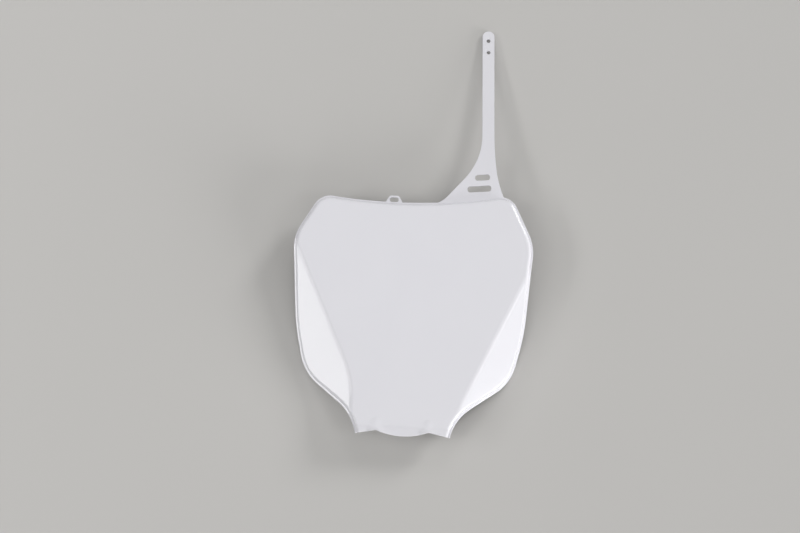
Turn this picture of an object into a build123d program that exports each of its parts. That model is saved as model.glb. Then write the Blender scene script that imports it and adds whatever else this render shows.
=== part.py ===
"""Front number board of an off-road racing motorbike, lying face up.

The board is one injection moulding with an even wall. Its flat field is flanked by two wings that are
bent back along creases. A rounded step leads down from the field and the wings to a narrow
border. The foot has a lip that is bent back, two bolt blisters and a scalloped edge. A strap with slots
and holes, and a small hose loop, grow out of the border at the top.

The board is drawn in the frame of its face: X across, Y up the board, Z out of the face, with Y = 0 on
the shoulder line and Z = 0 on the flat field. The last block sets it down on its wings and strap tip.
"""

import math
import os

from build123d import *

# Outline of the border: widths across the sharp corners, and steps down from the shoulder line.
# The top corner beside the strap stands higher, and the waist bulges past the line from shoulder to hip.
top_width = 191.5
top_rise = 43.5
top_hollow = 5.1
strap_side_rise = 7.0
shoulder_width = 242.5
waist_bulge = 4.9
waist_drop = 88.0
hip_width = 206.5
hip_drop = 47.5
throat_width = 101.0
throat_drop = 41.6
foot_width = 93.0
foot_drop = 18.6

# Corner radii of the outline
top_corner_radius = 18.0
shoulder_radius = 46.0
waist_radius = 200.0
hip_radius = 50.0
throat_radius = 54.0

# Section of the moulding: wall, step from the field down to the border, and rounded edges
wall = 2.2
step_height = 5.0
border_width = 2.0
border_thickness = 2.2
draft = 3.0
edge_radius = 3.2
border_edge_radius = 0.5

# Wings: each crease starts below the shoulder line, ends above the throat and turns down beside the neck.
# The left crease lies further in than the right one, and both wings reach the same depth at the hips.
left_crease_drop = 0.0
left_crease_end_rise = 34.0
right_crease_drop = 22.0
right_crease_end_rise = 2.0
crease_end_gap = 1.5
crease_turn_radius = 100.0
wing_depth = 22.0
wing_bend_radius = 9.0

# Foot: a lip that is bent back, two bolt blisters, and the scalloped edge
lip_height = 8.0
lip_bend = 26.0
lip_bend_radius = 18.0
notch_spacing = 52.0
notch_rise = 3.7
notch_radius = 4.0
lobe_drop = 1.0
lip_edge_radius = 0.8
blister_radius = 30.0
blister_height = 0.4
blister_rise = 8.0

# Strap: a tongue that leans towards the middle and is bent back, with flared roots on the border
strap_width = 12.3
strap_length = 189.4
strap_offset = 73.7
strap_lean = 2.85
strap_bend_start = 10.0
strap_bend_radius = 120.0
inner_flare_radius = 68.0
inner_flare_turn = 43.5
inner_flare_run = 24.5
inner_root_radius = 24.0
outer_flare_radius = 320.0
outer_flare_turn = 7.0
outer_root_radius = 100.0
outer_root_turn = 22.0

# Strap openings: rises from the top border, and shifts from the strap towards the middle
slot_height = 6.1
slot_corner_radius = 2.5
slot_tilt = 5.5
lower_slot_length = 23.8
lower_slot_rise = 17.4
lower_slot_shift = 9.9
upper_slot_length = 15.0
upper_slot_rise = 29.5
upper_slot_shift = 7.3
tip_hole_diameter = 4.0
tip_hole_inset = 10.8
tip_hole_spacing = 12.9

# Hose loop on the top border, left of the middle
loop_offset = 21.6
loop_base_width = 17.0
loop_top_width = 9.4
loop_height = 6.8
loop_corner_radius = 3.8
loop_slot_length = 9.0
loop_slot_height = 4.6
loop_slot_radius = 2.2
loop_top_wall = 2.0

# Depth of the bodies that the moulding is cut from, and how far they run past the surfaces that they meet
block_depth = 34.0
overrun = 20.0

# Least upward share in the direction of a face that belongs to the front
front_share = 0.4

shoulder_half = shoulder_width / 2
hip_half = hip_width / 2
throat_half = throat_width / 2
foot_half = foot_width / 2
top_level = top_rise - top_hollow
hip_level = -waist_drop - hip_drop
throat_level = hip_level - throat_drop
foot_level = throat_level - foot_drop
outline_end = foot_level - overrun
border_back = -step_height - border_thickness

# Drop and end rise of the crease on each side
creases = {
    -1: (left_crease_drop, left_crease_end_rise),
    1: (right_crease_drop, right_crease_end_rise),
}


def outline(grow):
    """Plan outline of the border, grown outwards by a distance and run on square below the foot."""
    waist_half = shoulder_half + (hip_half - shoulder_half) * waist_drop / -hip_level + waist_bulge
    end_half = foot_half - (throat_half - foot_half) * overrun / foot_drop
    corners = [
        (shoulder_half, 0, shoulder_radius),
        (waist_half, -waist_drop, waist_radius),
        (hip_half, hip_level, hip_radius),
        (throat_half, throat_level, throat_radius),
    ]
    sides = {}
    for side, rise in ((-1, top_rise), (1, top_rise + strap_side_rise)):
        sides[side] = [(side * top_width / 2, rise, top_corner_radius)]
        sides[side] += [(side * x, y, radius) for x, y, radius in corners]
    with BuildSketch() as plan:
        with BuildLine():
            ThreePointArc(sides[-1][0][:2], (0, top_level), sides[1][0][:2])
            for side, points in sides.items():
                Polyline(*[(x, y) for x, y, _ in points], (side * end_half, outline_end))
            Line((-end_half, outline_end), (end_half, outline_end))
        make_face()
        for x, y, radius in sides[-1] + sides[1]:
            fillet(plan.vertices().sort_by_distance((x, y, 0))[0], radius)
        if grow:
            offset(amount=grow)
    return plan.sketch


def crease_block(side, skin, face_level):
    """Solid with a level top and one wing: its surfaces set in by a skin, its top at a level."""
    drop, end_rise = creases[side]
    start = Vector(side * shoulder_half, -drop)
    turn = Vector(side * (throat_half + crease_end_gap), throat_level + end_rise)
    along = (start - turn).normalized()
    hip = Vector(side * hip_half, hip_level) - turn
    wing_bend = math.atan2(wing_depth, abs(along.cross(hip).Z))
    far = turn + along * 2 * shoulder_width
    low_level = outline_end - overrun
    with BuildPart() as block:
        with BuildSketch(Plane.XY.offset(face_level)) as plan:
            with BuildLine():
                Polyline(
                    far,
                    turn,
                    (turn.X, low_level),
                    (-side * shoulder_width, low_level),
                    (-side * shoulder_width, far.Y),
                    close=True,
                )
            make_face()
            fillet(plan.vertices().sort_by_distance((turn.X, turn.Y, face_level))[0], crease_turn_radius)
            if skin:
                offset(amount=-skin * math.tan(wing_bend / 2))
        extrude(amount=-block_depth, taper=math.degrees(wing_bend) - 90)
        top_edges = block.faces().sort_by(Axis.Z)[-1].edges().filter_by(Axis.X, reverse=True)
        fillet(top_edges.filter_by(lambda edge: edge.center().X * side > 0), wing_bend_radius - skin)
    return block.part


def bent_block(grow, skin, sink):
    """Solid under the bent face: its plan grown, its surfaces set in by a skin and lowered by a sink."""
    face_level = -skin - sink
    lip_line = foot_level + lip_height + skin * math.tan(math.radians(lip_bend / 2))
    lip_run = lip_height + 2 * overrun
    lip_fall = lip_run * math.tan(math.radians(lip_bend))
    with BuildPart() as block:
        add(crease_block(-1, skin, face_level))
        add(crease_block(1, skin, face_level), mode=Mode.INTERSECT)
        with BuildSketch(Plane.XY.offset(wall)):
            add(outline(grow))
        extrude(amount=-2 * block_depth, taper=-draft, mode=Mode.INTERSECT)
        with BuildSketch(Plane.YZ) as side_section:
            with BuildLine():
                Polyline(
                    (top_rise + 2 * overrun, face_level),
                    (lip_line, face_level),
                    (lip_line - lip_run, face_level - lip_fall),
                    (lip_line - lip_run, -2 * block_depth),
                    (top_rise + 2 * overrun, -2 * block_depth),
                    close=True,
                )
            make_face()
            bend = side_section.vertices().sort_by_distance((0, lip_line, face_level))[0]
            fillet(bend, lip_bend_radius - skin)
        extrude(amount=shoulder_width, both=True, mode=Mode.INTERSECT)
    return block.part


def outer_edges(faces):
    """Edges round a patch of faces: those that only one of its faces has."""
    edges = faces.edges()
    return [edge for edge in edges if sum(edge.is_same(other) for other in edges) == 1]


def rounded_block(grow, skin, sink, radius):
    """Bent block with a round edge to its face."""
    with BuildPart() as block:
        add(bent_block(grow, skin, sink))
        front = block.faces().filter_by(lambda face: face.normal_at().Z > front_share)
        rim = [edge for edge in outer_edges(front) if edge.center().Y > outline_end + overrun / 2]
        fillet(rim, radius)
    return block.part


def blisters(skin):
    """Caps of two spheres over the notches, set in by a skin and kept clear of the rounded edge."""
    level = blister_height - blister_radius
    centre_level = foot_level + notch_rise + blister_rise
    centres = [(side * notch_spacing / 2, centre_level, level) for side in (-1, 1)]
    lip_fall = (lip_height + lobe_drop) * math.tan(math.radians(lip_bend))
    with BuildPart() as caps:
        with Locations(*centres):
            Sphere(blister_radius - skin)
        with BuildSketch(Plane.XY.offset(-lip_fall - wall)):
            add(outline(-border_width - edge_radius - skin))
        extrude(amount=lip_fall + overrun, mode=Mode.INTERSECT)
    return caps.part


def strap_point(inset):
    """Point on the middle line of the strap, at a distance from its tip."""
    lean = math.radians(strap_lean)
    return Vector(strap_offset, top_level) + Vector(-math.sin(lean), math.cos(lean)) * (strap_length - inset)


def strap_outline():
    """Plan outline of the strap: flared roots, straight sides and a round tip."""
    lean = math.radians(strap_lean)
    along = Vector(-math.sin(lean), math.cos(lean))
    across = Vector(math.cos(lean), math.sin(lean))
    half = across * (strap_width / 2)
    root_turn = 90 + strap_lean - inner_flare_turn
    root_slope = math.radians(root_turn)
    flare_rise = (
        inner_flare_radius * (math.cos(root_slope) + math.sin(lean))
        + inner_flare_run * math.sin(root_slope)
        + inner_root_radius * (1 - math.cos(root_slope))
    )
    root = strap_point(strap_length - flare_rise)
    tip = strap_point(strap_width / 2)
    with BuildSketch() as plan:
        with BuildLine():
            inner_flare = JernArc(root - half, -along, inner_flare_radius, -inner_flare_turn)
            inner_run = Line(inner_flare @ 1, inner_flare @ 1 + (inner_flare % 1) * inner_flare_run)
            inner_root = JernArc(inner_run @ 1, inner_run % 1, inner_root_radius, -root_turn)
            outer_flare = JernArc(root + half, -along, outer_flare_radius, outer_flare_turn)
            outer_root = JernArc(outer_flare @ 1, outer_flare % 1, outer_root_radius, outer_root_turn)
            Polyline(inner_root @ 1, (strap_offset, top_level - overrun), outer_root @ 1)
            Line(root - half, tip - half)
            Line(root + half, tip + half)
            ThreePointArc(tip - half, strap_point(0), tip + half)
        make_face()
    return plan.sketch


def loop_outline():
    """Plan outline of the hose loop, with its foot inside the border."""
    loop_top = top_level + loop_height
    with BuildSketch() as plan:
        with BuildLine():
            Polyline(
                (-loop_offset - loop_base_width / 2, top_level - border_width),
                (-loop_offset - loop_base_width / 2, top_level),
                (-loop_offset - loop_top_width / 2, loop_top),
                (-loop_offset + loop_top_width / 2, loop_top),
                (-loop_offset + loop_base_width / 2, top_level),
                (-loop_offset + loop_base_width / 2, top_level - border_width),
                close=True,
            )
        make_face()
        fillet(plan.vertices().group_by(Axis.Y)[-1], loop_corner_radius)
    return plan.sketch


def openings():
    """Plan of the holes and slots in the strap and of the slot in the loop."""
    slots = [
        (lower_slot_length, lower_slot_shift, lower_slot_rise),
        (upper_slot_length, upper_slot_shift, upper_slot_rise),
    ]
    with BuildSketch() as plan:
        for length, shift, rise in slots:
            with Locations((strap_offset - shift, top_level + rise)):
                RectangleRounded(length, slot_height, slot_corner_radius, rotation=slot_tilt)
        with Locations(strap_point(tip_hole_inset), strap_point(tip_hole_inset + tip_hole_spacing)):
            Circle(tip_hole_diameter / 2)
        with Locations((-loop_offset, top_level + loop_height - loop_top_wall - loop_slot_height / 2)):
            RectangleRounded(loop_slot_length, loop_slot_height, loop_slot_radius)
    return plan.sketch


def border_growths(rest_level):
    """Strap and loop, cut from one sheet that is flush with the border and bent back to a level."""
    bend_start = top_rise + strap_bend_start
    bend_centre = border_back - strap_bend_radius
    reach = strap_point(0).Y - bend_start
    fall = rest_level - bend_centre
    back_tilt = math.degrees(math.atan2(reach, fall) - math.acos(strap_bend_radius / math.hypot(reach, fall)))
    with BuildPart() as growths:
        with BuildSketch():
            add(strap_outline())
            add(loop_outline())
        extrude(amount=block_depth, both=True)
        with BuildSketch(Plane.YZ):
            with BuildLine():
                back = JernArc((bend_start, border_back), (1, 0), strap_bend_radius, -back_tilt)
                front = JernArc(
                    (bend_start, -step_height), (1, 0), strap_bend_radius + border_thickness, -back_tilt
                )
                back_end = back @ 1 + (back % 1) * strap_length
                front_end = front @ 1 + (front % 1) * strap_length
                Polyline(back @ 1, back_end, front_end, front @ 1)
                Polyline(
                    back @ 0, (top_level - overrun, border_back), (top_level - overrun, -step_height), front @ 0
                )
            make_face()
        extrude(amount=shoulder_width, both=True, mode=Mode.INTERSECT)
        with BuildSketch():
            add(openings())
        extrude(amount=block_depth, both=True, mode=Mode.SUBTRACT)
    return growths.part


def foot_waste():
    """Plan of what is cut away below the scalloped edge of the foot."""
    notch_half = notch_spacing / 2
    notch_level = foot_level + notch_rise
    corner_half = foot_half + overrun
    corner_level = notch_level - notch_rise * (corner_half - notch_half) / (foot_half - notch_half)
    with BuildSketch() as plan:
        with BuildLine():
            ThreePointArc((-notch_half, notch_level), (0, foot_level - lobe_drop), (notch_half, notch_level))
            Polyline(
                (notch_half, notch_level),
                (corner_half, corner_level),
                (corner_half, outline_end - overrun),
                (-corner_half, outline_end - overrun),
                (-corner_half, corner_level),
                (-notch_half, notch_level),
            )
        make_face()
        for side in (-1, 1):
            fillet(plan.vertices().sort_by_distance((side * notch_half, notch_level, 0))[0], notch_radius)
    return plan.sketch


with BuildPart() as moulding:
    add(rounded_block(-border_width, 0, 0, edge_radius))
    add(blisters(0))
    add(rounded_block(0, 0, step_height, border_edge_radius))
    add(bent_block(overrun, 0, -border_back), mode=Mode.SUBTRACT)
    add(border_growths(moulding.part.bounding_box().min.Z))
    add(rounded_block(-border_width - wall, wall, 0, edge_radius - wall), mode=Mode.SUBTRACT)
    add(blisters(wall), mode=Mode.SUBTRACT)
    with BuildSketch():
        add(foot_waste())
    extrude(amount=block_depth, both=True, mode=Mode.SUBTRACT)
    front = moulding.faces().filter_by(lambda face: face.normal_at().Z > front_share)
    lip_half = foot_half - border_width - edge_radius
    lip_low = [edge for edge in outer_edges(front) if edge.center().Y < foot_level + notch_rise + border_width]
    fillet([edge for edge in lip_low if abs(edge.center().X) < lip_half], lip_edge_radius)

with BuildPart() as number_board:
    box = moulding.part.bounding_box()
    with Locations((0, -box.center().Y, -box.min.Z)):
        add(moulding.part)

number_board.part.label = "number_board"
os.makedirs("parts", exist_ok=True)
export_step(number_board.part, "parts/number_board.step")
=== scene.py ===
"""Studio picture of a racing number board that lies face up on a pale table.

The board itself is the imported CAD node, seen from above. This script gives it its glossy white plastic
and adds the table, the lights and the camera. Lengths are in metres, in the frame of the board: X across,
Y from the foot to the strap tip, Z up from the table.
"""

import math

import bpy
from mathutils import Matrix, Vector


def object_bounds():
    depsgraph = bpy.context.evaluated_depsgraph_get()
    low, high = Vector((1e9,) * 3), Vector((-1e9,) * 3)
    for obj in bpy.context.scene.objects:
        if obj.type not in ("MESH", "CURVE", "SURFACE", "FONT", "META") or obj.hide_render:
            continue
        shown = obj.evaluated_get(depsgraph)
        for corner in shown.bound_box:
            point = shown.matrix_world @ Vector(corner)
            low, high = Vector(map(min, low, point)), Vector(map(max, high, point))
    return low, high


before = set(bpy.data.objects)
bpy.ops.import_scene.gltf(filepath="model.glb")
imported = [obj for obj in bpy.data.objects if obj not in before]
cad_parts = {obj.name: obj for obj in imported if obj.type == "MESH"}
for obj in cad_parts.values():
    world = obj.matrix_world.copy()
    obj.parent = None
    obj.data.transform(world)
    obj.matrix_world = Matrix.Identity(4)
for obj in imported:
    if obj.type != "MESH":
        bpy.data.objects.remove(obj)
cad_low, cad_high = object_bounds()

# Camera: where it looks, from how far, how it leans from straight above, and how it is turned
camera_target = Vector((-0.01241, -0.04122, 0.015))
camera_distance = 1.5720
camera_lean_right = math.radians(4.31)
camera_lean_near = math.radians(8.79)
camera_roll = math.radians(3.39)
camera_lens_mm = 70.0
sensor_width_mm = 36.0

# Plastic: its two tones as linear values, the flow that mixes them, and the fine peel of its skin
plastic_pale = (0.785, 0.779, 0.818, 1.0)
plastic_deep = (0.755, 0.750, 0.791, 1.0)
plastic_ior = 1.49
flow_noise = {"Scale": 14.0, "Detail": 3.0, "Roughness": 0.5, "Distortion": 0.6}
peel_noise = {"Scale": 220.0, "Detail": 2.0, "Roughness": 0.5}
peel_bump = {"Strength": 0.05, "Distance": 0.0004}

# Gloss of the polished face and of the satin back, and the upward share of the normal where each begins
face_roughness = 0.12
back_roughness = 0.42
face_share = 0.1
back_share = -0.3

# Shading of soft edges: radius at the edges and at the bend of the lip, how far that bend lies from the
# end of the foot, half its width, and over which distance from it the radius changes
edge_soft = 0.0006
lip_soft = 0.006
lip_rise = 0.009
lip_half = 0.034
lip_near = 0.003
lip_far = 0.009
bevel_samples = 8

# Table: its two tones as linear values, the cloud that mixes them, its dull surface and its size
table_pale = (0.560, 0.549, 0.533, 1.0)
table_deep = (0.535, 0.527, 0.511, 1.0)
cloud_noise = {"Scale": 2.2, "Detail": 2.0, "Roughness": 0.5}
table_roughness = 0.9
table_specular = 0.2
table_size = 9.0

# Softboxes: turn and height as seen from the board, in degrees, then distance, width, height and power
light_aim = Vector((0.0, -0.08, 0.02))
softboxes = {
    "right_high": (-15, 42, 1.8, 0.8, 0.6, 3.3),
    "far_high": (84, 40, 1.8, 0.6, 0.5, 2.8),
    "left_high": (188, 30, 3.6, 2.6, 0.56, 34.0),
    "left_steep": (189, 50, 3.6, 0.8, 1.4, 15.0),
    "left_low": (165, 11, 3.6, 2.0, 0.8, 4.0),
}

# Broad lights, far off and so even over the whole table: turn, height and breadth in degrees, then strength
broad_distance = 4.0
broad_lights = {
    "right_low": (-29, 9, 24, 2.2),
    "far_right": (42, 22, 15, 1.28),
    "near_low": (-95, 14, 18, 0.35),
}

# Glow of the studio: all round, added overhead and gathered there, and what the camera sees past the table
world_colour = (1.0, 1.0, 1.0, 1.0)
glow_round = 0.11
glow_overhead = 0.65
glow_gather = 5.0
glow_seen = 0.5


def add_node(tree, kind, **inputs):
    """New node with some of its input sockets set."""
    node = tree.nodes.new(kind)
    for name, value in inputs.items():
        node.inputs[name].default_value = value
    return node


def split_axes(tree, vector):
    """X, Y and Z of a vector socket."""
    axes = add_node(tree, "ShaderNodeSeparateXYZ")
    tree.links.new(vector, axes.inputs["Vector"])
    return axes.outputs


def math_node(tree, operation, *values):
    """A value worked out from sockets and plain numbers."""
    node = add_node(tree, "ShaderNodeMath")
    node.operation = operation
    for socket, value in zip(node.inputs, values):
        if isinstance(value, bpy.types.NodeSocket):
            tree.links.new(value, socket)
        else:
            socket.default_value = value
    return node.outputs["Value"]


def value_range(tree, factor, from_low, from_high, to_low, to_high):
    """A value carried smoothly from one range to another."""
    ends = {"From Min": from_low, "From Max": from_high, "To Min": to_low, "To Max": to_high}
    spread = add_node(tree, "ShaderNodeMapRange", **ends)
    spread.interpolation_type = "SMOOTHSTEP"
    tree.links.new(factor, spread.inputs["Value"])
    return spread.outputs["Result"]


def noise(tree, place, settings):
    """Cloudy value at a place."""
    cloud = add_node(tree, "ShaderNodeTexNoise", **settings)
    tree.links.new(place, cloud.inputs["Vector"])
    return cloud.outputs["Fac"]


def colour_mix(tree, factor, first, second):
    """Mix of two colours by a factor socket."""
    mix = add_node(tree, "ShaderNodeMix")
    mix.data_type = "RGBA"
    mix.inputs["A"].default_value = first
    mix.inputs["B"].default_value = second
    tree.links.new(factor, mix.inputs["Factor"])
    return mix.outputs["Result"]


def new_material(name, noise_settings, deep, pale):
    """New material with two tones mixed by noise, its main shader, and the place on the object."""
    material = bpy.data.materials.new(name)
    material.use_nodes = True
    tree = material.node_tree
    shader = tree.nodes["Principled BSDF"]
    place = add_node(tree, "ShaderNodeTexCoord").outputs["Object"]
    colour = colour_mix(tree, noise(tree, place, noise_settings), deep, pale)
    tree.links.new(colour, shader.inputs["Base Color"])
    return material, shader, place


def soft_normal(tree, place):
    """Normal that is rounded at the edges, and further at the bend of the lip."""
    spot = split_axes(tree, place)
    lip_line = cad_low[1] + lip_rise
    across = math_node(tree, "SUBTRACT", math_node(tree, "ABSOLUTE", spot["X"]), lip_half)
    along = math_node(tree, "ABSOLUTE", math_node(tree, "SUBTRACT", spot["Y"], lip_line))
    from_lip = math_node(tree, "MAXIMUM", across, along)
    soft = add_node(tree, "ShaderNodeBevel")
    soft.samples = bevel_samples
    radius = value_range(tree, from_lip, lip_near, lip_far, lip_soft, edge_soft)
    tree.links.new(radius, soft.inputs["Radius"])
    return soft.outputs["Normal"]


def glossy_plastic():
    """White moulded plastic: polished in front, satin behind, with the faint flow and peel of a moulding."""
    material, shader, place = new_material("white_plastic", flow_noise, plastic_deep, plastic_pale)
    tree = material.node_tree
    facing = split_axes(tree, add_node(tree, "ShaderNodeNewGeometry").outputs["Normal"])
    roughness = value_range(tree, facing["Z"], back_share, face_share, back_roughness, face_roughness)
    tree.links.new(roughness, shader.inputs["Roughness"])
    bump = add_node(tree, "ShaderNodeBump", **peel_bump)
    tree.links.new(noise(tree, place, peel_noise), bump.inputs["Height"])
    tree.links.new(soft_normal(tree, place), bump.inputs["Normal"])
    tree.links.new(bump.outputs["Normal"], shader.inputs["Normal"])
    shader.inputs["IOR"].default_value = plastic_ior
    return material


def table_top():
    """Plain pale table with a soft cloud of tone."""
    material, shader, _ = new_material("table_paper", cloud_noise, table_deep, table_pale)
    shader.inputs["Roughness"].default_value = table_roughness
    shader.inputs["Specular IOR Level"].default_value = table_specular
    return material


def place_lamp(name, light, turn, height, distance):
    """Lamp at a turn and a height in degrees, facing the board and out of the camera's sight."""
    turn = math.radians(turn)
    height = math.radians(height)
    away = Vector((math.cos(height) * math.cos(turn), math.cos(height) * math.sin(turn), math.sin(height)))
    lamp = bpy.data.objects.new(name, light)
    lamp.location = light_aim + away * distance
    lamp.rotation_mode = "QUATERNION"
    lamp.rotation_quaternion = away.to_track_quat("Z", "Y")
    lamp.visible_camera = False
    bpy.context.scene.collection.objects.link(lamp)


def softbox(name, turn, height, distance, wide, tall, power):
    """Rectangular studio light near the board."""
    light = bpy.data.lights.new(name, "AREA")
    light.shape = "RECTANGLE"
    light.size = wide
    light.size_y = tall
    light.energy = power
    place_lamp(name, light, turn, height, distance)


def broad_light(name, turn, height, breadth, strength):
    """Light from far off that falls evenly on the whole table."""
    light = bpy.data.lights.new(name, "SUN")
    light.angle = math.radians(breadth)
    light.energy = strength
    place_lamp(name, light, turn, height, broad_distance)


def studio_glow():
    """World that is plain all round and brighter overhead."""
    world = bpy.data.worlds.new("studio")
    world.use_nodes = True
    tree = world.node_tree
    outward = split_axes(tree, add_node(tree, "ShaderNodeTexCoord").outputs["Generated"])
    above = math_node(tree, "MAXIMUM", outward["Z"], 0.0)
    gathered = math_node(tree, "POWER", above, glow_gather)
    raised = math_node(tree, "MULTIPLY", gathered, glow_overhead)
    level = add_node(tree, "ShaderNodeMix", B=glow_seen)
    tree.links.new(add_node(tree, "ShaderNodeLightPath").outputs["Is Camera Ray"], level.inputs["Factor"])
    tree.links.new(math_node(tree, "ADD", raised, glow_round), level.inputs["A"])
    glow = tree.nodes["Background"]
    glow.inputs["Color"].default_value = world_colour
    tree.links.new(level.outputs["Result"], glow.inputs["Strength"])
    return world


def overhead_camera():
    """Camera that looks down on the board, turned as the picture is."""
    back = Vector((math.tan(camera_lean_right), -math.tan(camera_lean_near), 1.0)).normalized()
    level = Vector((0, 1, 0)).cross(back).normalized()
    steep = back.cross(level)
    across = level * math.cos(camera_roll) + steep * math.sin(camera_roll)
    upward = steep * math.cos(camera_roll) - level * math.sin(camera_roll)
    data = bpy.data.cameras.new("camera")
    data.lens = camera_lens_mm
    data.sensor_width = sensor_width_mm
    camera = bpy.data.objects.new("camera", data)
    turn = Matrix((across, upward, back)).transposed().to_4x4()
    camera.matrix_world = Matrix.Translation(camera_target + back * camera_distance) @ turn
    bpy.context.scene.collection.objects.link(camera)
    return camera


# The board takes its plastic
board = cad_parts["number_board"]
board.data.materials.clear()
board.data.materials.append(glossy_plastic())

# Table
bpy.ops.mesh.primitive_plane_add(size=table_size, location=(0, 0, 0))
table = bpy.context.object
table.name = "table"
table.data.materials.append(table_top())

# Soft light from all sides, and a glow from overhead
for name, settings in softboxes.items():
    softbox(name, *settings)
for name, settings in broad_lights.items():
    broad_light(name, *settings)
bpy.context.scene.world = studio_glow()

bpy.context.scene.camera = overhead_camera()
bpy.context.scene.view_settings.view_transform = "Standard"
